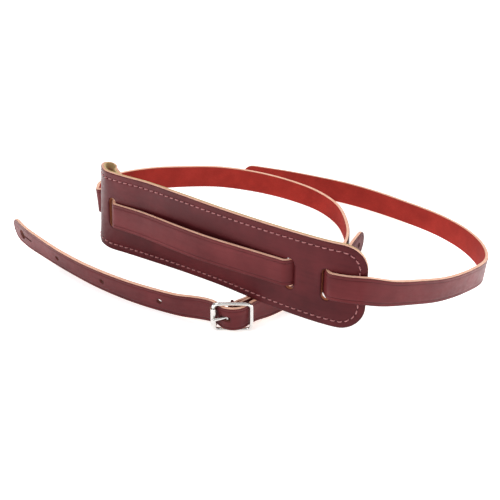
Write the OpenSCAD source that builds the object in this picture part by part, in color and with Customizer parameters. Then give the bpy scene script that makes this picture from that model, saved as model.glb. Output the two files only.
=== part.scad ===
/* [Straps] */
// Width of the long strap and of the adjuster strap
strap_w = 20; // [19:0.5:20]
// Thickness of the strap leather
strap_t = 2.6; // [2.2:0.1:2.6]
// Diameter of the two strap button holes
button_hole_d = 8; // [6:0.5:9]
// Distance from the tip of a strap to the centre of its button hole
button_hole_in = 18; // [16:1:20]
// Length of the slit that lets the button head through
slit_l = 12; // [8:1:14]
// Diameter of the prong holes
prong_hole_d = 4; // [3:0.5:5]
// Distance from one prong hole to the next
hole_pitch = 53.5; // [45:0.5:54]

/* [Shoulder pad] */
// Width of the pad
pad_w = 63.5; // [58:0.5:66]
// Length of the pad along its curve
pad_l = 264; // [258:1:264]
// Radius of the pad's corners
pad_corner_r = 18; // [12:1:22]
// Thickness of the leather face
face_t = 2; // [1.6:0.1:2]
// Thickness of the suede lining
lining_t = 1.4; // [1:0.1:1.4]
// Distance from an end of the pad to the nearest slot
slot_margin = 26.5; // [26:0.5:30]
// Distance between the two slots of a pair
slot_pitch = 27; // [24:1:27]
// Length of a slot across the pad
slot_l = 24; // [24:0.5:28]
// Width of a slot along the pad
slot_w = 6.5; // [6.5:0.5:8]

/* [Seam] */
// Distance from the pad's edge to the seam
seam_in = 5; // [4:0.5:7]
// Distance from one stitch to the next
stitch_pitch = 4.8; // [4:0.2:6]
// Length of one stitch
stitch_l = 3.4; // [2:0.2:3.6]
// Thickness of the thread
thread_t = 0.9; // [0.6:0.1:1]

/* [Buckle] */
// Distance between the centres of the roller bar and the end bar
frame_l = 26.7; // [26:0.1:27]
// Distance between the centres of the two side rails
frame_w = 23.8; // [23.6:0.1:24]
// Radius of the frame's wire
wire_r = 1.35; // [1.2:0.05:1.4]
// Radius of the centre bar
bar_r = 1.25; // [1:0.05:1.25]
// Radius of the bar inside the roller
axle_r = 1.2; // [1:0.05:1.3]
// Outer radius of the roller
roller_r = 2.2; // [2:0.05:2.2]
// Radius of the tongue's wire
tongue_r = 1.1; // [0.9:0.05:1.1]

/* [Hidden] */

oxblood = "#743238";
suede = "#b99a68";
thread = "#c8848c";
nickel = "silver";

// Moves everything so that the origin lies under the middle of the object
middle = [10.7, 12.7, 0.15];

// Where each leather band runs: [x, y, height of its lower edge, lean in degrees]
far_loop = [[3, 124, 0, -11], [33, 113, 0, -10], [60, 101, 0, -8], [86, 88, 0, -5],
    [110, 72, 0, -2], [137, 47, 1, 2], [159, 18, 4, 2], [173, -14, 8, 0],
    [178, -46, 12, -1], [172, -78, 18, -4], [155, -102, 24, -8], [132, -123, 30, -9],
    [108, -138, 37, -9], [90, -147, 42, -6]];
near_loop = [[-118.2, -13, 42.5, -1], [-120, -5, 41.5, -1], [-120.2, 3, 40.5, -1],
    [-117, 14, 39, -1], [-106, 29, 37.5, 1], [-86, 42, 35.5, 3],
    [-60, 58, 30, 7], [-28, 73, 23, 7], [4, 80, 15, 6], [34, 78, 8, 6],
    [60, 66, 3, 6], [76, 43, 1, 4], [81, 14, 0, 3], [79, -12, 0, 1], [70, -35, 0, -2],
    [55, -54, 1, -4], [35, -74, 4, -6]];
adjuster_route = [[-194, 16, 0, 3], [-185, 4, 0, 6], [-173, -9, 0, 9], [-147, -35, 0, 13],
    [-119, -59, 0, 12], [-88, -80, 0, 10], [-56, -96, 0, 9],
    [-40, -103.4, 2, 8], [-31, -108, 3.4, 8], [-24.4, -112, 3.6, 8], [-20.6, -116, 3.2, 8],
    [-17.4, -118.7, 3, 8], [-12.5, -119.9, 3, 8], [-7.5, -119.2, 3, 8], [-3.6, -116.6, 3.2, 8],
    [0.4, -112.4, 3.6, 8], [6, -107.1, 3.2, 8], [18, -96.4, 1, 6], [38, -77, 0, 5], [58, -57, 0, 3],
    [74, -37, 0, 1], [83, -19, 0, 0], [89, -7, 0, 0]];
pad_route = [[-91, -31, 20.6, -6], [-97, -25.2, 21.3, -6], [-102.6, -19.6, 22.2, -6],
    [-107.4, -16.9, 23.2, -6], [-111.9, -18.2, 24.1, -6], [-113.7, -22.6, 24.7, -5], [-112.5, -29.3, 25, -5],
    [-109, -35.4, 25, -4], [-103.9, -39.8, 25, -4], [-94, -45.8, 25, -3], [-75, -57, 25, -3],
    [-48, -75, 25, 0], [-20, -95, 25, 2], [6, -114, 25, 1], [28, -129, 25, 0],
    [48, -141, 25, 0], [62, -147, 25, 0], [78, -150, 25, 0]];

// Buckle: place of its middle, and how far it leans forward
buckle_at = [-12.5, -117, 13.2];
buckle_lean = 8;
// The centre bar sits behind the plane of the frame
bar_back = 2.5;
roller_x = -13.2;
end_bar_x = roller_x + frame_l;
frame_corner_r = 3.5;
roller_gap = 0.08;
bar_gap = 0.1;

// Turn-back around the centre bar: [along, forward], from the long strap to its end
turn_t = 1.8;
turn_r = bar_r + bar_gap + turn_t / 2;
turn_front = [[30, -24.4], [24, -19], [18, -13.7], [13, -9.4], [8, -6], [4, -3]];
turn_back = [[4, -6.4], [8, -8.4], [12.5, -11.6], [18, -16.3], [23, -20.8], [27, -24.4]];
rivet_x = 19.5;
rivet_f = -16.35;
rivet_turn = 41;
rivet_r = 3.8;
post_r = 1.5;
// Half the thickness of the two layers under the rivet
stack = 1.92;
rivet_t = 0.75;

clear = 0.45;
pad_t = face_t + lining_t;
glue = 0.05;
bend_l = 4.1;
ride = (pad_t + strap_t) / 2 + clear;
bow = 4;
slots = [slot_margin, slot_margin + slot_pitch,
         pad_l - slot_margin - slot_pitch, pad_l - slot_margin];
slot_drop = 0.5;

// ---- Curves ----

function unit(v) = v / norm(v);
function xyz(p) = [p[0], p[1], p[2]];

// Point between b and c on the smooth curve through a, b, c and d
function between(a, b, c, d, t) =
    0.5 * (2 * b + (c - a) * t + (2 * a - 5 * b + 4 * c - d) * t * t
        + (3 * b - a - 3 * c + d) * t * t * t);
function stop(r, i) = i < 0 ? 2 * r[0] - r[1]
    : i >= len(r) ? 2 * r[len(r) - 1] - r[len(r) - 2] : r[i];
// Smooth curve through a route, from stop `first` to stop `last`
function curve(r, steps, first, last) =
    [for (i = [first:last - 1], k = [0:steps - 1])
        between(stop(r, i - 1), r[i], r[i + 1], stop(r, i + 2), k / steps)];

// Centre line of a band, from the height of its lower edge
function raised(r, w, t) = [for (p = r)
    [p[0] + middle[0], p[1] + middle[1],
        p[2] + middle[2] + w / 2 * cos(p[3]) + t / 2 * abs(sin(p[3])), p[3]]];

// Distance along a line of points, one value per point
function marks(c, i = 0, s = 0) = concat([s],
    i == len(c) - 1 ? [] : marks(c, i + 1, s + norm(xyz(c[i + 1]) - xyz(c[i]))));
function table(c) = let (m = marks(c))
    [for (k = [0:3]) [for (i = [0:len(c) - 1]) [m[i], c[i][k]]]];
function along(tb, s) = [for (k = [0:3]) lookup(s, tb[k])];
function total(c) = let (m = marks(c)) m[len(m) - 1];

// Frame of a band: [middle, direction, up across the band, outward]
function frame(p, dir, lean) = let (
    t = unit(dir),
    up = unit([0, 0, 1] - t[2] * t),
    side = cross(t, up),
    w = cos(lean) * up + sin(lean) * side)
    [p, t, w, cross(t, w)];
function frame_at(tb, s) = let (
    q = max(2, min(s, tb[0][len(tb[0]) - 1][0] - 2)),
    p = along(tb, q),
    dir = unit(xyz(along(tb, q + 1.5)) - xyz(along(tb, q - 1.5))))
    frame(xyz(p) + (s - q) * dir, dir, p[3]);
function spot(f, v, n) = f[0] + f[2] * v + f[3] * n;

// Frames at every point of a line
function frames(c) = [for (i = [0:len(c) - 1])
    frame(xyz(c[i]), xyz(c[min(i + 1, len(c) - 1)]) - xyz(c[max(i - 1, 0)]), c[i][3])];

// ---- Solids ----

// Closed band through rings of four corners
module band(rings) {
    last = 4 * (len(rings) - 1);
    polyhedron(
        points = [for (r = rings, p = r) p],
        faces = concat([[0, 2, 1], [0, 3, 2]],
            [for (i = [0:len(rings) - 2], k = [0:3], half = [0, 1])
                let (a = 4 * i + k, b = 4 * i + (k + 1) % 4)
                k == 1 ? (half == 0 ? [a, b, a + 4] : [b, b + 4, a + 4])
                    : half == 0 ? [a, b + 4, a + 4] : [a, b, b + 4]],
            [[last, last + 1, last + 2], [last, last + 2, last + 3]]));
}

function ring(f, half, t) = [spot(f, -half, -t / 2), spot(f, -half, t / 2),
                             spot(f, half, t / 2), spot(f, half, -t / 2)];

// Rounded tip beyond the frame f, towards `way` along the band
function tip_rings(f, way) = [for (a = [10, 24, 38, 52, 66, 79])
    let (g = [f[0] + f[1] * way * strap_w / 2 * cos(a), f[1], f[2], f[3]])
    ring(g, strap_w / 2 * sin(a), strap_t)];
function reversed(v) = [for (i = [len(v) - 1:-1:0]) v[i]];

// Turns a child drawn with X along, Y across and Z outward into the frame f
module in_frame(f) {
    translate(f[0])
        rotate([atan2(f[2][2], f[3][2]), -asin(f[1][2]), atan2(f[1][1], f[1][0])])
            children();
}

// Button hole with its slit; the slit runs towards +X times way
module button_hole(f, way) {
    in_frame(f) {
        cylinder(d = button_hole_d, h = 4 * strap_t, center = true, $fn = 48);
        translate([way * (button_hole_d / 2 + slit_l / 2 - 1), 0, 0])
            cube([slit_l + 2, 1, 4 * strap_t], center = true);
    }
}

// ---- Long strap ----

pad_line = concat(curve(raised(pad_route, pad_w, pad_t), 8, 0, len(pad_route) - 1),
    [raised(pad_route, pad_w, pad_t)[len(pad_route) - 1]]);
pad_table = table(pad_line);

// +1 in front of the pad, -1 behind it
function cross_over(d) = sin(90 * max(-1, min(1, d / bend_l)));
function side_of_pad(s) =
    s < (slots[0] + slots[1]) / 2 ? -cross_over(s - slots[0])
    : s < pad_l / 2 ? cross_over(s - slots[1])
    : s < (slots[2] + slots[3]) / 2 ? -cross_over(s - slots[2]) : cross_over(s - slots[3]);
function swell(s) = s < slots[1] || s > slots[2] ? 0
    : pow(sin(180 * (s - slots[1]) / (slots[2] - slots[1])), 2);
// Point of the long strap where it passes the pad, s from the pad's left end
function on_pad(s) = let (
    f = frame_at(pad_table, s),
    p = spot(f, -2 + 3 * s / pad_l, ride * side_of_pad(s) + bow * swell(s)))
    [p[0], p[1], p[2], 5 * swell(s) - along(pad_table, s)[3]];

// Where the long strap meets the turn-back
function from_buckle(p) = let (c = cos(buckle_lean), s = sin(buckle_lean))
    buckle_at + middle + [p[0], -p[1] * s - p[2] * c, p[1] * c - p[2] * s];
turn_start = concat(from_buckle([turn_front[0][0], 0, turn_front[0][1]]), [-buckle_lean]);
turn_way = concat(from_buckle([turn_front[2][0], 0, turn_front[2][1]]), [-buckle_lean]) - turn_start;

function between_pair(s) = [for (k = [1, 2]) s - 6 - (slot_pitch - 12) * k / 3];
pad_stops = concat([for (s = [pad_l - 9:-5:slots[3] + 6]) s],
    [for (d = [6:-1.2:-6]) slots[3] + d], between_pair(slots[3]),
    [for (d = [6:-1.2:-6]) slots[2] + d], [for (s = [slots[2] - 11:-6:slots[1] + 9]) s],
    [for (d = [6:-1.2:-6]) slots[1] + d], between_pair(slots[1]),
    [for (d = [6:-1.2:-3]) slots[0] + d]);
far_stops = concat(raised(far_loop, strap_w, strap_t), [on_pad(pad_l - 1), on_pad(pad_l - 9)]);
near_stops = concat([on_pad(slots[0] - 2.4), on_pad(slots[0] - 3.6)],
    raised(near_loop, strap_w, strap_t), [turn_start, turn_start + turn_way]);
main_line = concat(curve(far_stops, 6, 0, len(far_stops) - 1),
    [for (s = pad_stops) on_pad(s)],
    curve(near_stops, 6, 1, len(near_stops) - 2),
    [turn_start]);
main_frames = frames(main_line);
main_hole = let (f = main_frames[0])
    [f[0] + f[1] * (button_hole_in - strap_w / 2), f[1], f[2], f[3]];

// Outline of a strip of thickness t along a flat line of points
function normal_at(c, i) = let (
    d = unit(c[min(i + 1, len(c) - 1)] - c[max(i - 1, 0)])) [-d[1], d[0]];
function strip(c, t) = concat(
    [for (i = [0:len(c) - 1]) c[i] + normal_at(c, i) * t / 2],
    [for (i = [len(c) - 1:-1:0]) c[i] - normal_at(c, i) * t / 2]);

module on_buckle() {
    translate(buckle_at + middle) rotate([90 + buckle_lean, 0, 0]) children();
}

module turn_back_around_bar() {
    loop = [for (a = [50:20:310]) [0, -bar_back] + turn_r * [cos(a), sin(a)]];
    rotate([90, 0, 0]) linear_extrude(strap_w, center = true)
        difference() {
            union() {
                polygon(strip(concat(turn_front, [loop[0], loop[1]]), turn_t));
                polygon(strip(concat([loop[len(loop) - 2], loop[len(loop) - 1]], turn_back), turn_t));
                difference() {
                    translate([0, -bar_back]) circle(turn_r + turn_t / 2, $fn = 64);
                    translate([2.2, -bar_back - 10]) square(20);
                }
            }
            translate([0, -bar_back]) circle(bar_r + bar_gap, $fn = 64);
        }
}

module main_strap() {
    first = main_frames[0];
    count = len(main_frames);
    color(oxblood) {
        difference() {
            band(concat(tip_rings(first, -1), [for (i = [0:count - 1])
                ring(main_frames[i], strap_w / 2, i < count - 4 ? strap_t : turn_t)]));
            button_hole(main_hole, 1);
        }
        difference() {
            on_buckle() turn_back_around_bar();
            // Opening for the tongue
            on_buckle() cube([9, 2 * tongue_r + 2.4, 14], center = true);
            at_rivet() cylinder(r = post_r, h = 12, center = true, $fn = 32);
        }
    }
}

// ---- Adjuster strap ----

adjuster_stops = raised(adjuster_route, strap_w, strap_t);
adjuster_line = concat(curve(adjuster_stops, 6, 0, len(adjuster_stops) - 1),
    [adjuster_stops[len(adjuster_stops) - 1]]);
adjuster_table = table(adjuster_line);
adjuster_frames = frames(adjuster_line);
first_hole = button_hole_in - strap_w / 2;
// Distance along the adjuster strap to the punched hole that the tongue is in
tongue_hole = 222;
// The tongue has drawn that hole out to a slot: its middle and its length
drawn_to = tongue_hole + 2.9;
drawn_l = 6.6;
tail_hole = frame_at(adjuster_table, first_hole);

module adjuster_strap() {
    count = len(adjuster_frames);
    color(oxblood) difference() {
        band(concat(tip_rings(adjuster_frames[0], -1),
            [for (f = adjuster_frames) ring(f, strap_w / 2, strap_t)],
            reversed(tip_rings(adjuster_frames[count - 1], 1))));
        button_hole(tail_hole, 1);
        for (i = [-3, -2, -1, 1, 2, 3])
            in_frame(frame_at(adjuster_table, tongue_hole + i * hole_pitch))
                cylinder(d = prong_hole_d, h = 3 * strap_t, center = true, $fn = 32);
        in_frame(frame_at(adjuster_table, drawn_to))
            cube([drawn_l, 2 * tongue_r + 1.4, 4 * strap_t], center = true);
    }
}

// ---- Shoulder pad ----

// Half width of the pad at distance s from its left end
function pad_half(s) = let (e = min(s, pad_l - s))
    e >= pad_corner_r ? pad_w / 2
    : pad_w / 2 - pad_corner_r + sqrt(pow(pad_corner_r, 2) - pow(pad_corner_r - e, 2));
pad_cuts = concat([0.3, 1, 2.5, 5, 8, 11, 14.5], [for (s = [18:3:pad_l - 19]) s],
    [for (e = [18, 14.5, 11, 8, 5, 2.5, 1, 0.3]) pad_l - e]);

// Layer of the pad from depth a to depth b, measured from its middle surface
module pad_layer(a, b) {
    difference() {
        band([for (s = pad_cuts) let (f = frame_at(pad_table, s), h = pad_half(s))
            [spot(f, -h, a), spot(f, -h, b), spot(f, h, b), spot(f, h, a)]]);
        for (s = slots) in_frame(frame_at(pad_table, s)) translate([0, -slot_drop, 0]) {
            cube([slot_w, slot_l - slot_w, 30], center = true);
            for (y = [-1, 1]) translate([0, y * (slot_l - slot_w) / 2, 0])
                cylinder(d = slot_w, h = 30, center = true, $fn = 32);
        }
    }
}

module pad_face() {
    color(oxblood) pad_layer(pad_t / 2 - face_t + glue, pad_t / 2);
}

module pad_lining() {
    color(suede) pad_layer(-pad_t / 2, pad_t / 2 - face_t);
}

// Seam: a rounded rectangle as [along the pad, across the pad]
seam_r = pad_corner_r - seam_in;
seam_x = pad_l / 2 - seam_in - seam_r;
seam_y = pad_w / 2 - seam_in - seam_r;
seam_line = [for (q = [[1, 1, 0], [-1, 1, 90], [-1, -1, 180], [1, -1, 270], [1, 1, 360]])
    for (a = q[2] == 360 ? [0] : [0:15:90])
        [pad_l / 2 + q[0] * seam_x + seam_r * cos(q[2] + a),
         q[1] * seam_y + seam_r * sin(q[2] + a), 0, 0]];
seam_table = table(seam_line);
seam_l = total(seam_line);
stitch_count = floor(seam_l / stitch_pitch);

// One stitch on the surface at depth n, centred at u along the seam
module stitch(u, n) {
    a = along(seam_table, u - stitch_l / 2);
    b = along(seam_table, u + stitch_l / 2);
    d = unit([b[0] - a[0], b[1] - a[1]]) * thread_t / 2;
    sink = n > 0 ? [-0.2, 0.4] : [0.2, -0.4];
    band([for (p = n > 0 ? [a, b] : [b, a]) let (f1 = frame_at(pad_table, p[0] + d[1]),
                             f2 = frame_at(pad_table, p[0] - d[1]))
        [spot(f1, p[1] - d[0], n + sink[0]), spot(f1, p[1] - d[0], n + sink[1]),
         spot(f2, p[1] + d[0], n + sink[1]), spot(f2, p[1] + d[0], n + sink[0])]]);
}

module pad_stitching() {
    color(thread)
        for (i = [0:stitch_count - 1], n = [pad_t / 2, -pad_t / 2])
            stitch((i + 0.5) * seam_l / stitch_count, n);
}

// ---- Buckle ----

// Straight wire of radius r along Y
module bar(l, r) {
    rotate([90, 0, 0]) cylinder(r = r, h = l, center = true, $fn = 48);
}

module frame_corner() {
    rotate_extrude(angle = 90, $fn = 64) translate([frame_corner_r, 0]) circle(wire_r, $fn = 32);
}

module buckle_frame() {
    rail_l = frame_l - 2 * frame_corner_r;
    mid_x = (roller_x + end_bar_x) / 2;
    inner_w = frame_w - 2 * frame_corner_r;
    color(nickel) on_buckle() {
        for (y = [-1, 1]) translate([mid_x, y * frame_w / 2, 0]) rotate([0, 0, 90]) bar(rail_l, wire_r);
        for (x = [0, 1], y = [0, 1])
            translate([mid_x, 0, 0]) mirror([x, 0, 0]) mirror([0, y, 0])
                translate([rail_l / 2, inner_w / 2, 0]) frame_corner();
        translate([end_bar_x, 0, 0]) bar(inner_w, wire_r);
        translate([roller_x, 0, 0]) bar(inner_w, axle_r);
        // Centre bar on its two short legs
        translate([0, 0, -bar_back]) bar(frame_w, bar_r);
        for (y = [-1, 1]) translate([0, y * frame_w / 2, -bar_back]) {
            cylinder(r = wire_r, h = bar_back, $fn = 48);
            sphere(wire_r, $fn = 48);
        }
    }
}

module buckle_roller() {
    color(nickel) on_buckle() translate([roller_x, 0, 0]) difference() {
        bar(frame_w - 2 * frame_corner_r - 0.6, roller_r);
        bar(frame_w, axle_r + roller_gap);
    }
}

// Straight prong with a round tip, along Z
module prong(l) {
    rotate_extrude($fn = 48) intersection() {
        union() {
            square([tongue_r, l]);
            translate([0, l]) circle(tongue_r, $fn = 48);
        }
        square([2 * tongue_r, l + 2 * tongue_r]);
    }
}

module buckle_tongue() {
    // The prong starts in the eye's wall and lies on the roller
    root = [-1, 1.9];
    reach = [roller_x, bar_back] - root;
    lift = asin((roller_r + tongue_r + 0.15) / norm(reach)) + atan2(reach[1], -reach[0]);
    color(nickel) on_buckle() translate([0, 0, -bar_back]) difference() {
        union() {
            bar(3.2, bar_r + 1.3);
            translate([root[0], 0, root[1]]) rotate([0, lift - 90, 0]) prong(-reach[0] + 0.8);
        }
        bar(10, bar_r + 0.07);
    }
}

// ---- Rivet through the turn-back ----

module at_rivet() {
    on_buckle() translate([rivet_x, 0, rivet_f]) rotate([0, rivet_turn, 0]) children();
}

module rivet_post() {
    color(nickel) at_rivet() {
        translate([0, 0, -stack - rivet_t]) cylinder(r = rivet_r, h = rivet_t, $fn = 48);
        translate([0, 0, -stack - rivet_t]) cylinder(r = post_r, h = 2 * stack + 1.5 * rivet_t, $fn = 32);
    }
}

module rivet_cap() {
    color(nickel) at_rivet() difference() {
        translate([0, 0, stack]) cylinder(r = rivet_r, h = rivet_t, $fn = 48);
        cylinder(r = post_r, h = stack + rivet_t / 2, $fn = 32);
    }
}

main_strap();
adjuster_strap();
pad_face();
pad_lining();
pad_stitching();
buckle_frame();
buckle_roller();
buckle_tongue();
rivet_post();
rivet_cap();
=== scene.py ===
"""Looks of the guitar strap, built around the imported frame. Lengths are millimetres until a mesh is made."""

import math

import bpy
import numpy as np
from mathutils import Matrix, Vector
from mathutils.geometry import delaunay_2d_cdt


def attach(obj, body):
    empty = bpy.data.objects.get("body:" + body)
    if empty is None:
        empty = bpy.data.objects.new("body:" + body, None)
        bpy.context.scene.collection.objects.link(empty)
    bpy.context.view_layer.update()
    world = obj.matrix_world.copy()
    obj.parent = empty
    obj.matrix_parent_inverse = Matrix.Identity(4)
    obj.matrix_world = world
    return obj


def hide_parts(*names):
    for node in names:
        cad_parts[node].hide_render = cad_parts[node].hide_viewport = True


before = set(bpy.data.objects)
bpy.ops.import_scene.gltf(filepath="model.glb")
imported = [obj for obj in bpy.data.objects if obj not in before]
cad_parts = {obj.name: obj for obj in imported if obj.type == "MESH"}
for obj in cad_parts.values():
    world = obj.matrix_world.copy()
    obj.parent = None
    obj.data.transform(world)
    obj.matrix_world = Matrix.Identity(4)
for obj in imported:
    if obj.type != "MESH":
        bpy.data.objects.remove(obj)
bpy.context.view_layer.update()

MM = 0.001
UP = np.array([0.0, 0.0, 1.0])

# ---- Sizes and routes, as in the part's source ----

MIDDLE = np.array([10.7, 12.7, 0.15])
STRAP_W, STRAP_T, TURN_T = 20.0, 2.6, 1.8
BUTTON_HOLE_R, SLIT_L, BUTTON_HOLE_S = 4.0, 12.0, 8.0
PRONG_HOLE_R, HOLE_PITCH, TONGUE_HOLE = 2.0, 53.5, 222.0
# The hole in use, drawn out by the tongue: its middle, its length, and the room the rounded leather needs
DRAWN_TO, DRAWN_L, DRAWN_HALF_W, DRAWN_ROOM = 224.9, 6.6, 1.9, 0.6
PAD_W, PAD_L, PAD_CORNER_R = 63.5, 264.0, 18.0
FACE_T, LINING_T = 2.0, 1.4
PAD_T = FACE_T + LINING_T
SLOTS = [26.5, 53.5, 210.5, 237.5]
SLOT_L, SLOT_W, SLOT_DROP = 24.0, 6.5, 0.5
SEAM_IN, STITCH_PITCH, STITCH_L, THREAD_R = 5.0, 4.8, 3.4, 0.45
BUCKLE_AT = np.array([-12.5, -117.0, 13.2])
BUCKLE_LEAN = math.radians(8)
BAR_BACK = 2.5
TURN_R = 2.25
CLEAR = 0.45
RIDE = (PAD_T + STRAP_T) / 2 + CLEAR
BOW = 4.0
BEND_L = 4.1
# The long strap's stops go from REACH on one side of a slot to REACH on the other, FINE apart
REACH, FINE = 6.0, 1.2

# Each stop is x, y, height of the lower edge and lean in degrees
FAR_LOOP = [
    [3, 124, 0, -11], [33, 113, 0, -10], [60, 101, 0, -8], [86, 88, 0, -5], [110, 72, 0, -2],
    [137, 47, 1, 2], [159, 18, 4, 2], [173, -14, 8, 0], [178, -46, 12, -1], [172, -78, 18, -4],
    [155, -102, 24, -8], [132, -123, 30, -9], [108, -138, 37, -9], [90, -147, 42, -6],
]
NEAR_LOOP = [
    [-118.2, -13, 42.5, -1], [-120, -5, 41.5, -1], [-120.2, 3, 40.5, -1], [-117, 14, 39, -1],
    [-106, 29, 37.5, 1], [-86, 42, 35.5, 3], [-60, 58, 30, 7], [-28, 73, 23, 7], [4, 80, 15, 6],
    [34, 78, 8, 6], [60, 66, 3, 6], [76, 43, 1, 4], [81, 14, 0, 3], [79, -12, 0, 1], [70, -35, 0, -2],
    [55, -54, 1, -4], [35, -74, 4, -6],
]
ADJUSTER_ROUTE = [
    [-194, 16, 0, 3], [-185, 4, 0, 6], [-173, -9, 0, 9], [-147, -35, 0, 13], [-119, -59, 0, 12],
    [-88, -80, 0, 10], [-56, -96, 0, 9], [-40, -103.4, 2, 8], [-31, -108, 3.4, 8],
    [-24.4, -112, 3.6, 8], [-20.6, -116, 3.2, 8], [-17.4, -118.7, 3, 8], [-12.5, -119.9, 3, 8],
    [-7.5, -119.2, 3, 8], [-3.6, -116.6, 3.2, 8], [0.4, -112.4, 3.6, 8], [6, -107.1, 3.2, 8],
    [18, -96.4, 1, 6], [38, -77, 0, 5], [58, -57, 0, 3], [74, -37, 0, 1], [83, -19, 0, 0],
    [89, -7, 0, 0],
]
PAD_ROUTE = [
    [-91, -31, 20.6, -6], [-97, -25.2, 21.3, -6], [-102.6, -19.6, 22.2, -6],
    [-107.4, -16.9, 23.2, -6], [-111.9, -18.2, 24.1, -6], [-113.7, -22.6, 24.7, -5], [-112.5, -29.3, 25, -5],
    [-109, -35.4, 25, -4], [-103.9, -39.8, 25, -4], [-94, -45.8, 25, -3], [-75, -57, 25, -3],
    [-48, -75, 25, 0], [-20, -95, 25, 2], [6, -114, 25, 1], [28, -129, 25, 0],
    [48, -141, 25, 0], [62, -147, 25, 0], [78, -150, 25, 0],
]
TURN_FRONT = [[30, -24.4], [24, -19], [18, -13.7], [13, -9.4], [8, -6], [4, -3]]
TURN_BACK = [[4, -6.4], [8, -8.4], [12.5, -11.6], [18, -16.3], [23, -20.8], [27, -24.4]]

# ---- Lines ----


def unit(v):
    return v / np.linalg.norm(v, axis=-1, keepdims=True)


def distances(points):
    """Distance along a line of points, one value for each point."""
    return np.concatenate([[0], np.cumsum(np.linalg.norm(np.diff(points, axis=0), axis=1))])


def raised(route, width, thick):
    """Stops on the middle line of a band, from the height of its lower edge."""
    r = np.array(route, float)
    lean = np.radians(r[:, 3])
    r[:, :3] += MIDDLE
    r[:, 2] += width / 2 * np.cos(lean) + thick / 2 * np.abs(np.sin(lean))
    return r


def curve(stops, steps, first=0, last=None):
    """Catmull-Rom curve through stops, from stop first to stop last."""
    r = np.vstack([2 * stops[0] - stops[1], stops, 2 * stops[-1] - stops[-2]])
    last = len(stops) - 1 if last is None else last
    out = []
    for i in range(first, last):
        a, b, c, d = r[i : i + 4]
        for k in range(steps):
            t = k / steps
            square, cube = 2 * a - 5 * b + 4 * c - d, 3 * b - a - 3 * c + d
            out.append(0.5 * (2 * b + (c - a) * t + square * t * t + cube * t**3))
    return np.array(out)


class Line:
    """A band's middle line: a place, a direction along it and a direction across it for each distance."""

    STEP = 0.5
    SPARE = 14.0

    def __init__(self, points, across=None, blur=1.0):
        """points hold x, y, z and lean; across gives the across direction itself where it is known."""
        p = points[:, :3]
        marks = distances(p)
        self.length = marks[-1]
        if across is None:
            across = self.lean_to_across(p, points[:, 3])
        s = np.arange(-self.SPARE, self.length + self.SPARE, self.STEP)
        place = self.table(marks, p, s)
        start, end = unit(p[1] - p[0]), unit(p[-1] - p[-2])
        place += np.minimum(s, 0)[:, None] * start
        place += np.maximum(s - self.length, 0)[:, None] * end
        across = self.table(marks, across, s)
        reach = int(3 * blur / self.STEP)
        kernel = np.exp(-0.5 * (np.arange(-reach, reach + 1) * self.STEP / blur) ** 2)
        kernel /= kernel.sum()
        self.s = s[reach:-reach]

        def smooth(a):
            return np.stack([np.convolve(a[:, k], kernel, "valid") for k in range(3)], 1)

        self.p = smooth(place)
        self.t = unit(np.gradient(self.p, axis=0))
        across = smooth(across)
        self.w = unit(across - np.sum(across * self.t, 1, keepdims=True) * self.t)

    @staticmethod
    def table(marks, values, s):
        return np.stack([np.interp(s, marks, values[:, k]) for k in range(3)], 1)

    @staticmethod
    def lean_to_across(p, lean):
        t = unit(np.gradient(p, axis=0))
        up = unit(UP - t[:, 2:3] * t)
        a = np.radians(lean)[:, None]
        return np.cos(a) * up + np.sin(a) * np.cross(t, up)

    def frames(self, s):
        """Place, along, across and outward at distances s."""
        p, t, w = (self.table(self.s, v, s) for v in (self.p, self.t, self.w))
        t, w = unit(t), unit(w)
        return p, t, w, np.cross(t, w)

    def spot(self, s, v, n):
        """Points at distance s, v across and n outward."""
        p, _, w, out = self.frames(s)
        return p + w * np.asarray(v)[:, None] + out * np.asarray(n)[:, None]

    def stations(self, first, last, widest, share=0.11):
        """Distances from first to last, closer together where the line bends."""
        bend = np.linalg.norm(np.gradient(self.t, self.STEP, axis=0), axis=1)
        bend = np.convolve(bend, np.ones(9) / 9, "same")
        step = np.clip(share / np.maximum(bend, 1e-6), 0.35, widest)
        inside = (self.s >= first) & (self.s <= last)
        s, rate = self.s[inside], 1 / step[inside]
        count = np.concatenate([[0], np.cumsum((rate[1:] + rate[:-1]) / 2 * np.diff(s))])
        return np.interp(np.linspace(0, count[-1], int(count[-1]) + 1), count, s)


pad_stops = raised(PAD_ROUTE, PAD_W, PAD_T)
pad_points = np.vstack([curve(pad_stops, 8), pad_stops[-1]])
pad_marks = distances(pad_points[:, :3])
pad_line = Line(pad_points)


def cross_over(d):
    """-1 to 1 as the strap goes through a slot, d from the slot's middle."""
    return math.sin(math.pi / 2 * max(-1, min(1, d / BEND_L)))


def side_of_pad(s):
    """1 in front of the pad, -1 behind it."""
    if s < (SLOTS[0] + SLOTS[1]) / 2:
        return -cross_over(s - SLOTS[0])
    if s < PAD_L / 2:
        return cross_over(s - SLOTS[1])
    if s < (SLOTS[2] + SLOTS[3]) / 2:
        return -cross_over(s - SLOTS[2])
    return cross_over(s - SLOTS[3])


def swell(s):
    """How far the strap bows out between the inner slots, up to 1."""
    if s < SLOTS[1] or s > SLOTS[2]:
        return 0.0
    return math.sin(math.pi * (s - SLOTS[1]) / (SLOTS[2] - SLOTS[1])) ** 2


def on_pad(s):
    """Stop of the long strap where it passes the pad."""
    out = RIDE * side_of_pad(s) + BOW * swell(s)
    p = pad_line.spot([s], [-2 + 3 * s / PAD_L], [out])[0]
    return np.array([*p, 5 * swell(s) - float(np.interp(s, pad_marks, pad_points[:, 3]))])


COS, SIN = math.cos(BUCKLE_LEAN), math.sin(BUCKLE_LEAN)
BUCKLE_UP = np.array([0, -SIN, COS])


def from_buckle(x, forward):
    """Place of a point given along the buckle and towards its front."""
    return BUCKLE_AT + MIDDLE + np.array([x, -forward * COS, -forward * SIN])


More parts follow.
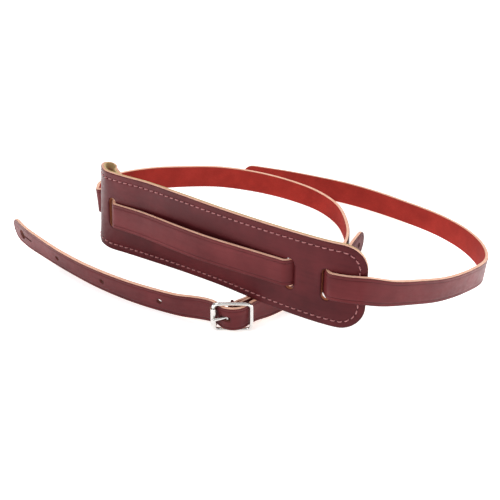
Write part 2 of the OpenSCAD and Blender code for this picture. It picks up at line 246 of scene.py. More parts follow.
def main_strap_line():
    """The long strap's line from its far tip to the end of the turn-back, and where on it the centre bar and
    the start of the turn-back are."""

    def through(slot, count=round(2 * REACH / FINE) + 1):
        return [slot + REACH - FINE * i for i in range(count)]

    def between_pair(slot):
        return [slot - REACH - (SLOTS[1] - SLOTS[0] - 2 * REACH) * k / 3 for k in (1, 2)]

    steps = [PAD_L - 9 - 5 * i for i in range(int((PAD_L - 9 - SLOTS[3] - REACH) / 5) + 1)]
    steps += through(SLOTS[3]) + between_pair(SLOTS[3]) + through(SLOTS[2])
    steps += [SLOTS[2] - 11 - 6 * i for i in range(int((SLOTS[2] - 20 - SLOTS[1]) / 6) + 1)]
    steps += through(SLOTS[1]) + between_pair(SLOTS[1]) + through(SLOTS[0], 8)
    far = np.vstack([raised(FAR_LOOP, STRAP_W, STRAP_T), on_pad(PAD_L - 1), on_pad(PAD_L - 9)])
    lean = -math.degrees(BUCKLE_LEAN)
    turn = [np.array([*from_buckle(*TURN_FRONT[0]), lean]), np.array([*from_buckle(*TURN_FRONT[2]), lean])]
    leaving = [on_pad(SLOTS[0] - 2 * FINE), on_pad(SLOTS[0] - 3 * FINE)]
    near = np.vstack([leaving, raised(NEAR_LOOP, STRAP_W, STRAP_T), turn])
    line = np.vstack(
        [curve(far, 6), [on_pad(s) for s in steps], curve(near, 6, 1, len(near) - 2), turn[0]]
    )
    across = Line.lean_to_across(line[:, :3], line[:, 3])
    around = [
        [TURN_R * math.cos(math.radians(a)), TURN_R * math.sin(math.radians(a)) - BAR_BACK]
        for a in range(50, 311, 20)
    ]
    path = np.array(TURN_FRONT + around + TURN_BACK, float)
    path = np.vstack([curve(path, 6), path[-1]])[1:]
    points = np.vstack([line[:, :3], [from_buckle(x, f) for x, f in path]])
    across = np.vstack([across, np.tile(BUCKLE_UP, (len(path), 1))])
    marks = distances(points)
    middle = len(line) + int(np.argmin(path[:, 0]))
    return Line(np.c_[points, np.zeros(len(points))], across, blur=0.6), marks[middle], marks[len(line)]


main_line, bar_s, turn_s = main_strap_line()
adjuster_stops = raised(ADJUSTER_ROUTE, STRAP_W, STRAP_T)
adjuster_line = Line(np.vstack([curve(adjuster_stops, 6), adjuster_stops[-1]]), blur=1.5)

# ---- Flat shapes: a point is (distance along, distance across) ----


def arc(cx, cy, r, start, end, count):
    """Points round a centre, from one angle in degrees to another."""
    a = np.radians(np.linspace(start, end, count))
    return np.stack([cx + r * np.cos(a), cy + r * np.sin(a)], 1)


class Panel:
    """Rounded rectangle from s0 to s1 along and v0 to v1 across, with its own corner radius at each end."""

    def __init__(self, s0, s1, v0, v1, r0, r1=None):
        self.s0, self.s1, self.v0, self.v1 = s0, s1, v0, v1
        self.r0, self.r1 = r0, r0 if r1 is None else r1

    def depth(self, q):
        """Distance from the outline, positive inside."""
        s, v = q[:, 0], q[:, 1]
        mid, half = (self.v0 + self.v1) / 2, (self.v1 - self.v0) / 2
        side = np.abs(v - mid)
        d = np.minimum(half - side, np.minimum(s - self.s0, self.s1 - s))
        for end, r in ((s - self.s0, self.r0), (self.s1 - s, self.r1)):
            corner = (end < r) & (side > half - r)
            d = np.where(corner, r - np.hypot(r - end, side - (half - r)), d)
        return d

    def outline(self, inset, stations, arc_count):
        """Closed outline, moved in by inset; a negative inset moves it out."""
        s0, s1, v0, v1 = self.s0 + inset, self.s1 - inset, self.v0 + inset, self.v1 - inset
        r0, r1 = max(self.r0 - inset, 0.01), max(self.r1 - inset, 0.01)
        run = stations[(stations > s0 + r0 + 0.2) & (stations < s1 - r1 - 0.2)]
        parts = [
            arc(s1 - r1, v0 + r1, r1, -90, 0, arc_count),
            arc(s1 - r1, v1 - r1, r1, 0, 90, arc_count),
            np.stack([run[::-1], np.full(len(run), v1)], 1),
            arc(s0 + r0, v1 - r0, r0, 90, 180, arc_count),
            arc(s0 + r0, v0 + r0, r0, 180, 270, arc_count),
            np.stack([run, np.full(len(run), v0)], 1),
        ]
        return spread(np.vstack(parts))


class ButtonHole:
    """Round hole at s with a slit running on from it."""

    HALF_SLIT = 0.5

    def __init__(self, s, r, slit):
        self.s, self.r, self.end = s, r, s + r + slit

    def depth(self, q):
        s, v = q[:, 0], q[:, 1]
        hole = self.r - np.hypot(s - self.s, v)
        near = np.clip(s, self.s, self.end - self.HALF_SLIT)
        slit = self.HALF_SLIT - np.hypot(s - near, v)
        return np.maximum(hole, slit)

    def outline(self, inset, stations, arc_count):
        r, h = self.r - inset, self.HALF_SLIT - inset
        a = math.degrees(math.asin(h / r))
        tip = self.end - self.HALF_SLIT
        run = np.arange(self.s + r * math.cos(math.radians(a)) + 0.8, tip - 0.3, 0.9)
        parts = [
            arc(self.s, 0, r, a, 360 - a, 4 * arc_count),
            np.stack([run, np.full(len(run), -h)], 1),
            arc(tip, 0, h, -90, 90, max(5, arc_count)),
            np.stack([run[::-1], np.full(len(run), h)], 1),
        ]
        return spread(np.vstack(parts))


def spread(points):
    """Drops points that lie on the one before."""
    keep = np.linalg.norm(points - np.roll(points, 1, 0), axis=1) > 0.02
    return points[keep]


def mesh_flat(panel, holes, stations, insets, rows, hole_insets, arc_count=7):
    """Triangles of a panel with holes: points, triangles and the depth of each point in the leather."""
    loops = [panel.outline(i, stations, arc_count) for i in insets]
    edges, points = [], []

    def add(loop, closed):
        start = sum(len(p) for p in points)
        points.append(loop)
        if closed:
            edges.extend((start + i, start + (i + 1) % len(loop)) for i in range(len(loop)))

    def clear_of_holes(q, room):
        keep = np.ones(len(q), bool)
        for hole in holes:
            keep &= hole.depth(q) < -room
        return q[keep]

    for i, loop in enumerate(loops):
        if i == 0:
            add(loop, True)
        else:
            add(clear_of_holes(loop, hole_insets[-1] + 0.35), False)
    for hole in holes:
        for i, inset in enumerate(hole_insets):
            loop = hole.outline(-inset, stations, arc_count)
            loop = loop[panel.depth(loop) > insets[-1] + 0.2] if i else loop
            add(loop, i == 0)
    grid = np.array([[s, v] for s in stations for v in rows])
    grid = grid[panel.depth(grid) > insets[-1] + 0.5]
    add(clear_of_holes(grid, hole_insets[-1] + 0.5), False)
    flat = np.vstack(points)
    q, _, faces, _, _, _ = delaunay_2d_cdt([Vector(p) for p in flat], edges, [], 0, 1e-5, False)
    q = np.array([[p.x, p.y] for p in q])
    faces = np.array(faces)
    centre = q[faces].mean(1)
    keep = panel.depth(centre) > 1e-4
    for hole in holes:
        keep &= hole.depth(centre) < -1e-4
    faces = faces[keep]
    used = np.unique(faces)
    renumber = np.full(len(q), -1)
    renumber[used] = np.arange(len(used))
    q, faces = q[used], renumber[faces]
    a, b, c = (q[faces[:, k]] for k in range(3))
    turned = (b[:, 0] - a[:, 0]) * (c[:, 1] - a[:, 1]) - (b[:, 1] - a[:, 1]) * (c[:, 0] - a[:, 0]) < 0
    faces[turned] = faces[turned][:, ::-1]
    depth = panel.depth(q)
    for hole in holes:
        depth = np.minimum(depth, -hole.depth(q))
    return q, faces, np.maximum(depth, 0)


def border(faces):
    """Edges that only one triangle has, in that triangle's direction."""
    e = np.vstack([faces[:, [0, 1]], faces[:, [1, 2]], faces[:, [2, 0]]])
    known = {tuple(x) for x in e.tolist()}
    return np.array([x for x in e.tolist() if (x[1], x[0]) not in known])


def quarter_round(depth, r):
    d = np.minimum(depth, r)
    return r - np.sqrt(np.maximum(r * r - (r - d) ** 2, 0))


def groove(depth, at, width, deep):
    return deep * np.exp(-(((depth - at) / width) ** 2))


# ---- Materials ----


class Nodes:
    """Short way to write a material's nodes."""

    def __init__(self, name):
        self.material = bpy.data.materials.new(name)
        self.material.use_nodes = True
        self.tree = self.material.node_tree
        self.shader = self.tree.nodes["Principled BSDF"]

    def node(self, kind, inputs=(), **settings):
        n = self.tree.nodes.new("ShaderNode" + kind)
        for key, value in settings.items():
            setattr(n, key, value)
        for key, value in dict(inputs).items():
            if isinstance(value, bpy.types.NodeSocket):
                self.tree.links.new(value, n.inputs[key])
            else:
                n.inputs[key].default_value = value
        return n

    def set(self, **values):
        for key, value in values.items():
            socket = self.shader.inputs[key.replace("_", " ")]
            if isinstance(value, bpy.types.NodeSocket):
                self.tree.links.new(value, socket)
            else:
                socket.default_value = value

    def flat(self, scale=(1, 1, 1), shift=(0, 0, 0)):
        """Coordinates along, across and through the leather, in millimetres."""
        at = self.node("Attribute", attribute_name="flat").outputs["Vector"]
        inputs = {"Vector": at, "Scale": scale, "Location": shift}
        return self.node("Mapping", inputs).outputs["Vector"]

    def noise(self, vector, scale, detail=3.0, rough=0.55):
        inputs = {"Vector": vector, "Scale": scale, "Detail": detail, "Roughness": rough}
        return self.node("TexNoise", inputs).outputs["Fac"]

    def cells(self, vector, scale):
        return self.node("TexVoronoi", {"Vector": vector, "Scale": scale}).outputs["Distance"]

    def spread(self, value, low, high, new_low=0.0, new_high=1.0):
        names = ("Value", "From Min", "From Max", "To Min", "To Max")
        inputs = dict(zip(names, (value, low, high, new_low, new_high)))
        return self.node("MapRange", inputs).outputs["Result"]

    def blend(self, fac, a, b):
        n = self.node("Mix", data_type="RGBA")
        for key, value in ((0, fac), (6, a), (7, b)):
            if isinstance(value, bpy.types.NodeSocket):
                self.tree.links.new(value, n.inputs[key])
            else:
                n.inputs[key].default_value = value
        return n.outputs[2]

    def size_of(self, value):
        """The value without its sign."""
        return self.node("Math", {0: value}, operation="ABSOLUTE").outputs[0]

    def bump(self, height, distance, strength=1.0, normal=None):
        inputs = {"Height": height, "Distance": distance, "Strength": strength}
        if normal is not None:
            inputs["Normal"] = normal
        return self.node("Bump", inputs).outputs["Normal"]

    def rim(self, reach):
        """1 at the cut edge, 0 at reach millimetres from it."""
        d = self.node("Attribute", attribute_name="rim").outputs["Fac"]
        return self.spread(d, 0.0, reach, 1.0, 0.0)


def rgb(r, g, b):
    return (r, g, b, 1.0)


def darker(colour, share):
    return [c * share for c in colour[:3]] + [1]


def grain_leather(name, dark, light, shift):
    """Smooth full-grain leather: fine pores, faint mottling, pull-up marks and a burnished rim."""
    m = Nodes(name)
    at = m.flat(shift=shift)
    clouds = m.noise(at, 0.035, 4.0)
    colour = m.blend(m.spread(clouds, 0.35, 0.68), dark, light)
    streaks = m.noise(m.flat((0.05, 0.6, 1), shift), 1.0, 3.0)
    colour = m.blend(m.spread(streaks, 0.5, 0.8, 0.0, 0.35), colour, darker(dark, 0.7))
    pores = m.cells(at, 1.7)
    colour = m.blend(m.spread(pores, 0.0, 0.22, 0.22, 0.0), colour, darker(dark, 0.45))
    colour = m.blend(m.spread(m.rim(1.6), 0.2, 1.0, 0.0, 0.55), colour, darker(dark, 0.6))
    line = m.node("Attribute", attribute_name="crease").outputs["Fac"]
    colour = m.blend(m.spread(line, 0.1, 1.0, 0.0, 0.75), colour, darker(dark, 0.5))
    rough = m.spread(m.noise(at, 0.3, 3.0), 0.3, 0.7, 0.4, 0.52)
    creases = m.bump(m.noise(m.flat((1, 1.6, 1), shift), 0.55, 4.0), 0.00008, 0.5)
    fine = m.bump(pores, 0.00005, 0.55, creases)
    m.set(Base_Color=colour, Roughness=rough, Normal=fine)
    m.set(Specular_IOR_Level=0.16)
    return m.material


def flesh_leather(name, dark, light, shift):
    """The raw back of the leather: brushed fibres, no shine."""
    m = Nodes(name)
    fibres = m.noise(m.flat((0.25, 1.0, 1), shift), 2.2, 6.0, 0.7)
    clouds = m.noise(m.flat(shift=shift), 0.06, 4.0)
    colour = m.blend(m.spread(clouds, 0.3, 0.7), dark, light)
    colour = m.blend(m.spread(fibres, 0.4, 0.75, 0.0, 0.45), colour, darker(dark, 0.6))
    colour = m.blend(m.spread(m.rim(1.2), 0.3, 1.0, 0.0, 0.3), colour, rgb(0.62, 0.26, 0.16))
    rough = m.spread(fibres, 0.3, 0.7, 0.72, 0.95)
    m.set(Base_Color=colour, Roughness=rough, Normal=m.bump(fibres, 0.00022, 0.8))
    m.set(Specular_IOR_Level=0.15)
    return m.material


def cut_edge(name, pale, dark, shift):
    """Cut edge of vegetable-tanned leather: pale, with streaks along it."""
    m = Nodes(name)
    streaks = m.noise(m.flat((0.22, 0.22, 2.2), shift), 1.3, 5.0, 0.65)
    patches = m.noise(m.flat(shift=shift), 0.09, 3.0)
    colour = m.blend(m.spread(streaks, 0.42, 0.75), pale, dark)
    colour = m.blend(m.spread(patches, 0.45, 0.75, 0.0, 0.5), colour, dark)
    rough = m.spread(streaks, 0.3, 0.7, 0.5, 0.72)
    m.set(Base_Color=colour, Roughness=rough, Normal=m.bump(streaks, 0.00012, 0.7))
    m.set(Specular_IOR_Level=0.35)
    return m.material


def suede(name, dark, light):
    """Suede: a soft nap with slow light and dark areas."""
    m = Nodes(name)
    nap = m.noise(m.flat(), 3.5, 5.0, 0.7)
    clouds = m.noise(m.flat(), 0.07, 4.0)
    colour = m.blend(m.spread(clouds, 0.35, 0.65), dark, light)
    colour = m.blend(m.spread(nap, 0.45, 0.75, 0.0, 0.45), colour, darker(dark, 0.62))
    m.set(Base_Color=colour, Roughness=m.spread(nap, 0.3, 0.7, 0.85, 1.0))
    m.set(Normal=m.bump(nap, 0.00025, 0.8), Specular_IOR_Level=0.2)
    m.set(Sheen_Weight=0.35, Sheen_Roughness=0.45)
    return m.material


def waxed_thread(name, pale, dark):
    """Twisted thread: slanting strands run round each stitch."""
    m = Nodes(name)
    at = m.flat((2.4, 1.0, 1.0))
    strands = m.node("TexWave", {"Vector": at, "Scale": 0.5, "Distortion": 0.4, "Detail": 1.0})
    twist = strands.outputs["Fac"]
    fuzz = m.noise(m.flat(), 5.0, 3.0)
    colour = m.blend(m.spread(twist, 0.1, 0.9), dark, pale)
    colour = m.blend(m.spread(fuzz, 0.5, 0.8, 0.0, 0.4), colour, dark)
    m.set(Base_Color=colour, Roughness=m.spread(fuzz, 0.3, 0.7, 0.5, 0.7))
    m.set(Normal=m.bump(twist, 0.00012, 0.7), Sheen_Weight=0.2, Sheen_Roughness=0.5)
    return m.material


def polished_nickel(name, tint, seed):
    """Nickel plate with faint clouding and hairline marks."""
    m = Nodes(name)
    at = m.node("TexCoord").outputs["Object"]
    moved = m.node("Mapping", {"Vector": at, "Location": (seed, 0, 0)}).outputs["Vector"]
    clouds = m.noise(moved, 220.0, 4.0)
    stretched = m.node("Mapping", {"Vector": moved, "Scale": (1, 8, 8)}).outputs["Vector"]
    hair = m.noise(stretched, 900.0, 4.0, 0.7)
    colour = m.blend(m.spread(clouds, 0.35, 0.7), tint, darker(tint, 0.86))
    rough = m.spread(hair, 0.35, 0.7, 0.08, 0.22)
    m.set(Base_Color=colour, Roughness=rough, Normal=m.bump(hair, 0.00001, 0.4))
    m.set(Metallic=1.0)
    return m.material


# ---- Meshes ----


def make_object(name, points, faces, kinds, materials, flat, rim, crease):
    """Mesh object; flat, rim and crease are what the materials read at each point."""
    mesh = bpy.data.meshes.new(name)
    mesh.from_pydata((np.asarray(points) * MM).tolist(), [], faces)
    for material in materials:
        mesh.materials.append(material)
    mesh.polygons.foreach_set("material_index", np.asarray(kinds, np.int32))
    mesh.polygons.foreach_set("use_smooth", np.ones(len(mesh.polygons), bool))
    at = mesh.attributes.new("flat", "FLOAT_VECTOR", "POINT")
    at.data.foreach_set("vector", np.asarray(flat, np.float32).ravel())
    for key, values in (("rim", rim), ("crease", crease)):
        at = mesh.attributes.new(key, "FLOAT", "POINT")
        at.data.foreach_set("value", np.asarray(values, np.float32))
    mesh.validate()
    mesh.update()
    ob = bpy.data.objects.new(name, mesh)
    bpy.context.scene.collection.objects.link(ob)
    return ob


# A crease line is pressed in beside a strap's edges
CREASE_IN, CREASE_W, CREASE_DEEP = 2.55, 0.3, 0.3
# Cut edges: how far they bulge, how wide a strip of both faces they take, and the heights of their two rings
BULGE, TRIM, RING_LEVELS = 0.08, 0.12, (0.28, 0.72)
# Points nearer than this to the outline belong to it and not to a hole
AT_OUTLINE = 0.5


def leather(name, line, pattern, panel, top, bottom, materials, crease_at=CREASE_IN):
    """Bends a flat pattern along a line. top and bottom give each point's height; materials are for the top,
    the bottom, the cut edge and the walls of holes."""
    q, tris, depth = pattern
    n_top, n_bottom = top(q, depth), bottom(q, depth)
    rim_edges = border(tris)
    ring = np.unique(rim_edges)
    place_in_ring = {v: i for i, v in enumerate(ring.tolist())}
    outward = np.zeros((len(q), 2))
    for a, b in rim_edges:
        d = q[b] - q[a]
        side = np.array([d[1], -d[0]]) / max(np.hypot(*d), 1e-9)
        outward[a] += side
        outward[b] += side
    outward[ring] /= np.maximum(np.linalg.norm(outward[ring], axis=1, keepdims=True), 1e-9)
    flat = [np.c_[q, n_top], np.c_[q, n_bottom]]
    for level in RING_LEVELS:
        moved = q[ring] + outward[ring] * BULGE
        flat.append(np.c_[moved, n_top[ring] * (1 - level) + n_bottom[ring] * level])
    flat = np.vstack(flat)
    count, extra = len(q), 2 * len(q)
    faces = tris.tolist() + (tris[:, ::-1] + count).tolist()
    outer = panel.depth(q) < AT_OUTLINE
    on_edge = (depth[tris].max(1) < TRIM) & outer[tris].all(1)
    kinds = np.concatenate([np.where(on_edge, 2, 0), np.where(on_edge, 2, 1)]).tolist()
    for a, b in rim_edges.tolist():
        i, j = place_in_ring[a], place_in_ring[b]
        chain_a = [a, extra + i, extra + len(ring) + i, count + a]
        chain_b = [b, extra + j, extra + len(ring) + j, count + b]
        for k in range(3):
            faces.append([chain_b[k], chain_a[k], chain_a[k + 1], chain_b[k + 1]])
            kinds.append(2 if outer[a] else 3)
    rim = np.concatenate([depth, depth, np.zeros(2 * len(ring))])
    crease = groove(panel.depth(q), crease_at, CREASE_W, 1.0)
    crease = np.concatenate([crease, crease, np.zeros(2 * len(ring))])
    points = line.spot(flat[:, 0], flat[:, 1], flat[:, 2])
    return make_object(name, points, faces, kinds, materials, flat, rim, crease)


def ripple(s, v, phase):
    """Slow unevenness of the leather, up to 1 either way."""
    return (
        np.sin(s / 17 + phase) * 0.4
        + np.sin(s / 7.3 + 2.1 * phase + v / 9) * 0.35
        + np.sin(s / 41 + v / 6 + phase) * 0.25
    )


STRAP_INSETS = [0, 0.06, 0.2, 0.5, 1.1, 1.9, 2.25, 2.55, 2.85, 3.2]
STRAP_ROWS = np.array([-5.4, -4, -2.6, -1.3, 0, 1.3, 2.6, 4, 5.4])
HOLE_INSETS = [0, 0.06, 0.2, 0.5, 1.0]
ROUND_TOP, ROUND_BOTTOM = 0.5, 0.3


def strap_heights(thick, panel, phase):
    """Heights of a strap's faces: grain as top, flesh as bottom, flesh as top, grain as bottom."""

    def grain(q, depth):
        crease = groove(panel.depth(q), CREASE_IN, CREASE_W, CREASE_DEEP)
        return -quarter_round(depth, ROUND_TOP) - crease + 0.06 * ripple(q[:, 0], q[:, 1], phase)

    def flesh(q, depth):
        return -quarter_round(depth, ROUND_BOTTOM) + 0.05 * ripple(q[:, 0], q[:, 1], phase + 2)

    return (
        lambda q, d: thick(q[:, 0]) / 2 + grain(q, d),
        lambda q, d: -thick(q[:, 0]) / 2 - flesh(q, d),
        lambda q, d: thick(q[:, 0]) / 2 + flesh(q, d),
        lambda q, d: -thick(q[:, 0]) / 2 - grain(q, d),
    )


OXBLOOD_DARK, OXBLOOD_LIGHT = rgb(0.098, 0.011, 0.0135), rgb(0.148, 0.021, 0.024)
# Painted shade: the pad's colours are darker than the straps' partly because its leather is darker and partly
# for the shadow the pad lies in
PAD_DARK_SHADED, PAD_LIGHT_SHADED = rgb(0.066, 0.0065, 0.009), rgb(0.105, 0.012, 0.015)
BRICK_DARK, BRICK_LIGHT = rgb(0.30, 0.022, 0.016), rgb(0.42, 0.034, 0.024)
TAN_PALE, TAN_DARK = rgb(0.95, 0.60, 0.45), rgb(0.72, 0.34, 0.21)

strap_grain = grain_leather("oxblood_strap", OXBLOOD_DARK, OXBLOOD_LIGHT, (0, 0, 0))
# The pad's grain material carries the painted shade of its colours
pad_grain_shaded = grain_leather("oxblood_pad_shaded", PAD_DARK_SHADED, PAD_LIGHT_SHADED, (37, 91, 5))
strap_flesh = flesh_leather("strap_flesh", BRICK_DARK, BRICK_LIGHT, (0, 0, 0))
strap_edge = cut_edge("strap_edge", TAN_PALE, TAN_DARK, (0, 0, 0))
pad_edge = cut_edge("pad_edge", rgb(0.85, 0.50, 0.37), rgb(0.48, 0.20, 0.13), (11, 0, 0))
# Painted shade: hole walls are the same cut leather as the pale edges, coloured near black for the shade
# inside the holes
shaded_hole_wall = cut_edge("shaded_hole_wall", rgb(0.16, 0.045, 0.03), rgb(0.07, 0.018, 0.014), (5, 0, 0))
# Painted shade: slot walls are coloured darker than the pad's cut edge for the shade inside the slots
shaded_slot_wall = cut_edge("shaded_slot_wall", rgb(0.40, 0.14, 0.06), rgb(0.20, 0.06, 0.03), (17, 0, 0))
pad_suede = suede("pad_suede", rgb(0.42, 0.28, 0.13), rgb(0.56, 0.40, 0.2))
suede_edge = cut_edge("suede_edge", rgb(0.62, 0.45, 0.22), rgb(0.4, 0.27, 0.12), (23, 0, 0))
thread = waxed_thread("pink_thread", rgb(0.52, 0.19, 0.19), rgb(0.28, 0.08, 0.085))

# ---- Long strap ----


def main_thickness(s):
    """The long strap is pared down where it turns back."""
    return np.interp(s, [turn_s - 8, turn_s + 4], [STRAP_T, TURN_T])


SQUARE_END_R = 0.5
main_panel = Panel(-STRAP_W / 2, main_line.length, -STRAP_W / 2, STRAP_W / 2, STRAP_W / 2, SQUARE_END_R)
# Opening for the tongue, centred on the centre bar
OPENING_HALF_L, OPENING_HALF_W, OPENING_R = 9.1, 2.3, 2.2
main_holes = [
    ButtonHole(BUTTON_HOLE_S, BUTTON_HOLE_R, SLIT_L),
    Panel(bar_s - OPENING_HALF_L, bar_s + OPENING_HALF_L, -OPENING_HALF_W, OPENING_HALF_W, OPENING_R),
]
main_stations = main_line.stations(-STRAP_W / 2, main_line.length, 2.6)
main_pattern = mesh_flat(main_panel, main_holes, main_stations, STRAP_INSETS, STRAP_ROWS, HOLE_INSETS)
_, _, flesh_top, grain_bottom = strap_heights(main_thickness, main_panel, 0.7)
main_strap = leather(
    "long_strap", main_line, main_pattern, main_panel, flesh_top, grain_bottom,
    [strap_flesh, strap_grain, strap_edge, shaded_hole_wall],
)
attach(main_strap, "leather")
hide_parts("main_strap")

# ---- Adjuster strap ----

adjuster_panel = Panel(
    -STRAP_W / 2, adjuster_line.length + STRAP_W / 2, -STRAP_W / 2, STRAP_W / 2, STRAP_W / 2
)
adjuster_holes = [ButtonHole(BUTTON_HOLE_S, BUTTON_HOLE_R, SLIT_L)]
for i in range(-3, 4):
    at, before, after, half_w = TONGUE_HOLE + i * HOLE_PITCH, PRONG_HOLE_R, PRONG_HOLE_R, PRONG_HOLE_R
    corner_r = PRONG_HOLE_R - 0.01
    if i == 0:
        at, before, after, half_w = DRAWN_TO, DRAWN_L / 2, DRAWN_L / 2 + DRAWN_ROOM, DRAWN_HALF_W
        corner_r = 0.5
    adjuster_holes.append(Panel(at - before, at + after, -half_w, half_w, corner_r))
adjuster_stations = adjuster_line.stations(-STRAP_W / 2, adjuster_line.length + STRAP_W / 2, 2.6)
adjuster_pattern = mesh_flat(
    adjuster_panel, adjuster_holes, adjuster_stations, STRAP_INSETS, STRAP_ROWS, HOLE_INSETS
)
grain_top, flesh_bottom, _, _ = strap_heights(lambda s: np.full(len(s), STRAP_T), adjuster_panel, 2.9)
adjuster_strap = leather(
    "adjuster", adjuster_line, adjuster_pattern, adjuster_panel, grain_top, flesh_bottom,
    [strap_grain, strap_flesh, strap_edge, shaded_hole_wall],
)
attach(adjuster_strap, "leather")
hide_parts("adjuster_strap")

# ---- Shoulder pad ----

pad_panel = Panel(0, PAD_L, -PAD_W / 2, PAD_W / 2, PAD_CORNER_R)
pad_slots = [
    Panel(
        s - SLOT_W / 2, s + SLOT_W / 2,
        -SLOT_L / 2 - SLOT_DROP, SLOT_L / 2 - SLOT_DROP, SLOT_W / 2 - 0.01,
    )
    for s in SLOTS
]
seam_r = PAD_CORNER_R - SEAM_IN
seam_v = PAD_W - 2 * SEAM_IN - 2 * seam_r


def seam_points():
    """The seam as a closed line: points, and distance along it."""
    corners = [
        (PAD_L - SEAM_IN - seam_r, seam_v / 2, 0), (SEAM_IN + seam_r, seam_v / 2, 90),
        (SEAM_IN + seam_r, -seam_v / 2, 180), (PAD_L - SEAM_IN - seam_r, -seam_v / 2, 270),
    ]
    points = np.vstack([arc(s, v, seam_r, a, a + 90, 19) for s, v, a in corners])
    points = np.vstack([points, points[0]])
    return points, distances(points)


seam, seam_marks = seam_points()
seam_length = seam_marks[-1]
stitch_count = int(seam_length / STITCH_PITCH)


def seam_phase(q):
    """How far a point is into its stitch, from 0 to 1, by its nearest place on the seam."""
    dense_u = np.linspace(0, seam_length, 8 * stitch_count, endpoint=False)
    dense = np.stack([np.interp(dense_u, seam_marks, seam[:, k]) for k in range(2)], 1)
    phase = np.zeros(len(q))
    for start in range(0, len(q), 2000):
        part = q[start : start + 2000]
        near = np.argmin(((part[:, None] - dense[None]) ** 2).sum(2), 1)
        phase[start : start + 2000] = dense_u[near] / seam_length * stitch_count % 1
    return phase


PAD_INSETS = [0, 0.06, 0.2, 0.5, 1.2, 2.2, 3.2, 3.9, 4.4, 4.7, 5.0, 5.3, 5.6, 6.1, 7.0]
PAD_ROWS = np.arange(-23.1, 23.2, 2.1)
pad_stations = pad_line.stations(0, PAD_L, 1.2)
pad_pattern = mesh_flat(pad_panel, pad_slots, pad_stations, PAD_INSETS, PAD_ROWS, HOLE_INSETS, 13)
pad_phase = seam_phase(pad_pattern[0])


def seam_dip(q, deep):
    """The seam pulls the leather down, most where the thread goes in."""
    pull = 0.6 + 0.4 * np.cos(2 * np.pi * pad_phase)
    return groove(pad_panel.depth(q), SEAM_IN, 0.55, deep) * pull + groove(
        pad_panel.depth(q), SEAM_IN, 1.6, deep * 0.35
    )


def face_top(q, depth):
    slow = 0.1 * ripple(q[:, 0] * 0.7, q[:, 1] * 0.5, 1.3) * np.minimum(depth / 4, 1)
    return PAD_T / 2 - quarter_round(depth, 0.6) - seam_dip(q, 0.35) + slow - 0.05


def face_bottom(q, depth):
    return np.full(len(q), PAD_T / 2 - FACE_T)


def lining_bottom(q, depth):
    return -PAD_T / 2 + quarter_round(depth, 0.3) + seam_dip(q, 0.25)


pad_face = leather(
    "pad_front", pad_line, pad_pattern, pad_panel, face_top, face_bottom,
    [pad_grain_shaded, strap_flesh, pad_edge, shaded_slot_wall], crease_at=SEAM_IN,
)
pad_lining = leather(
    "pad_back", pad_line, pad_pattern, pad_panel, face_bottom, lining_bottom,
    [pad_suede, pad_suede, suede_edge, shaded_slot_wall],
)
for piece, node, slot in ((pad_face, "pad_face", "pad_leather"), (pad_lining, "pad_lining", "pad_suede")):
    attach(piece, "leather")
    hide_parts(node)

# ---- Stitching ----


def stitches(name, height, outward):
    """Rows of short arched threads that dive into the leather at both ends."""
    points, faces, flat = [], [], []
    around, rings = 8, 7
    for i in range(stitch_count):
        middle = (i + 0.5) * seam_length / stitch_count
        x = np.linspace(-1, 1, rings)
        u = (middle + x * STITCH_L / 2) % seam_length
        line = np.stack([np.interp(u, seam_marks, seam[:, k]) for k in range(2)], 1)
        along = unit(line[-1] - line[0])
        side = np.array([-along[1], along[0]])
        line = line + side * (0.16 * x)[:, None]
        lift = height + outward * (0.28 - 0.62 * x**4)
        radius = THREAD_R * np.sqrt(np.clip(1 - 0.75 * x**6, 0.1, 1))
        start = sum(len(p) for p in points)
        for k in range(rings):
            a = np.arange(around) * 2 * np.pi / around
            ring = line[k] + side * (np.cos(a) * radius[k])[:, None]
            n = lift[k] + outward * np.sin(a) * radius[k]
            points.append(pad_line.spot(ring[:, 0], ring[:, 1], n))
            flat.append(np.stack([np.full(around, u[k]), a * 0.5, np.full(around, i * 0.37)], 1))
        for k in range(rings - 1):
            for j in range(around):
                a, b = start + k * around + j, start + k * around + (j + 1) % around
                quad = [a, b, b + around, a + around]
                faces.append(quad if outward > 0 else quad[::-1])
        first = list(range(start, start + around))
        last = list(range(start + (rings - 1) * around, start + rings * around))
        faces.append(first[::-1] if outward > 0 else first)
        faces.append(last if outward > 0 else last[::-1])
    points, flat = np.vstack(points), np.vstack(flat)
    far_in, none = np.full(len(flat), 5.0), np.zeros(len(flat))
    return make_object(name, points, faces, np.zeros(len(faces)), [thread], flat, far_in, none)


front_stitches = stitches("front_stitches", PAD_T / 2 - 0.3, 1)
back_stitches = stitches("back_stitches", -PAD_T / 2 + 0.2, -1)
for piece in (front_stitches, back_stitches):
    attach(piece, "leather")
    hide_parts("pad_stitching")

# ---- Metal ----

NICKEL = rgb(0.80, 0.785, 0.76)
for i, node in enumerate(("buckle_frame", "buckle_roller", "buckle_tongue", "rivet_post", "rivet_cap")):
    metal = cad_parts[node]
    material = polished_nickel("nickel_" + node, NICKEL, 0.13 * i)
    for holder in metal.material_slots:
        holder.material = material

# ---- Stage ----


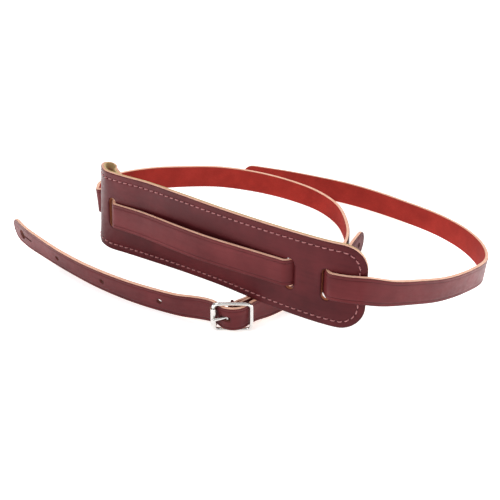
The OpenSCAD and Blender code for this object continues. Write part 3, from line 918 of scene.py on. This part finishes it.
def plane(name, size, material):
    h = size / 2
    mesh = bpy.data.meshes.new(name)
    mesh.from_pydata([(-h, -h, 0), (h, -h, 0), (h, h, 0), (-h, h, 0)], [], [(0, 1, 2, 3)])
    mesh.materials.append(material)
    ob = bpy.data.objects.new(name, mesh)
    bpy.context.scene.collection.objects.link(ob)


white = Nodes("pale_floor")
white.set(Base_Color=rgb(0.95, 0.95, 0.95), Roughness=0.9, Specular_IOR_Level=0.1)
# The floor glows as painted light, more strongly away from the object to both sides, standing in for side
# lamps that light the loops' ends
apart = white.node("SeparateXYZ", {0: white.node("TexCoord").outputs["Object"]}).outputs["X"]
painted_floor_glow = white.spread(white.size_of(apart), 0.14, 0.27, 0.5, 2.8)
white.set(Emission_Color=rgb(1, 1, 1), Emission_Strength=painted_floor_glow)
plane("floor", 8.0, white.material)


def area_light(name, place, target, size, power):
    data = bpy.data.lights.new(name, "AREA")
    data.shape = "RECTANGLE"
    data.size, data.size_y = size
    data.energy = power
    ob = bpy.data.objects.new(name, data)
    ob.location = place
    ob.rotation_euler = (Vector(target) - Vector(place)).to_track_quat("-Z", "Y").to_euler()
    bpy.context.scene.collection.objects.link(ob)


area_light("key", (-0.7, -0.9, 1.3), (0, 0, 0.03), (1.0, 0.8), 9)
area_light("top", (0.1, 0.3, 1.4), (0, 0, 0), (1.4, 1.0), 9)
area_light("fill", (1.2, -0.6, 0.8), (0, 0, 0.03), (0.9, 0.9), 2.5)
world = bpy.data.worlds.new("studio")
world.use_nodes = True
world.node_tree.nodes["Background"].inputs["Color"].default_value = (1, 1, 1, 1)
world.node_tree.nodes["Background"].inputs["Strength"].default_value = 0.42
scene = bpy.context.scene
scene.world = world
scene.view_settings.view_transform = "Standard"

camera_data = bpy.data.cameras.new("camera")
camera_data.sensor_width = 36
camera_data.lens = 60.48
camera = bpy.data.objects.new("camera", camera_data)
aim = Vector((0.0107, 0.0127, 0.0))
camera.location = aim + Vector((0, -0.6062, 0.35))
camera.rotation_euler = (aim - camera.location).to_track_quat("-Z", "Y").to_euler()
scene.collection.objects.link(camera)
scene.camera = camera
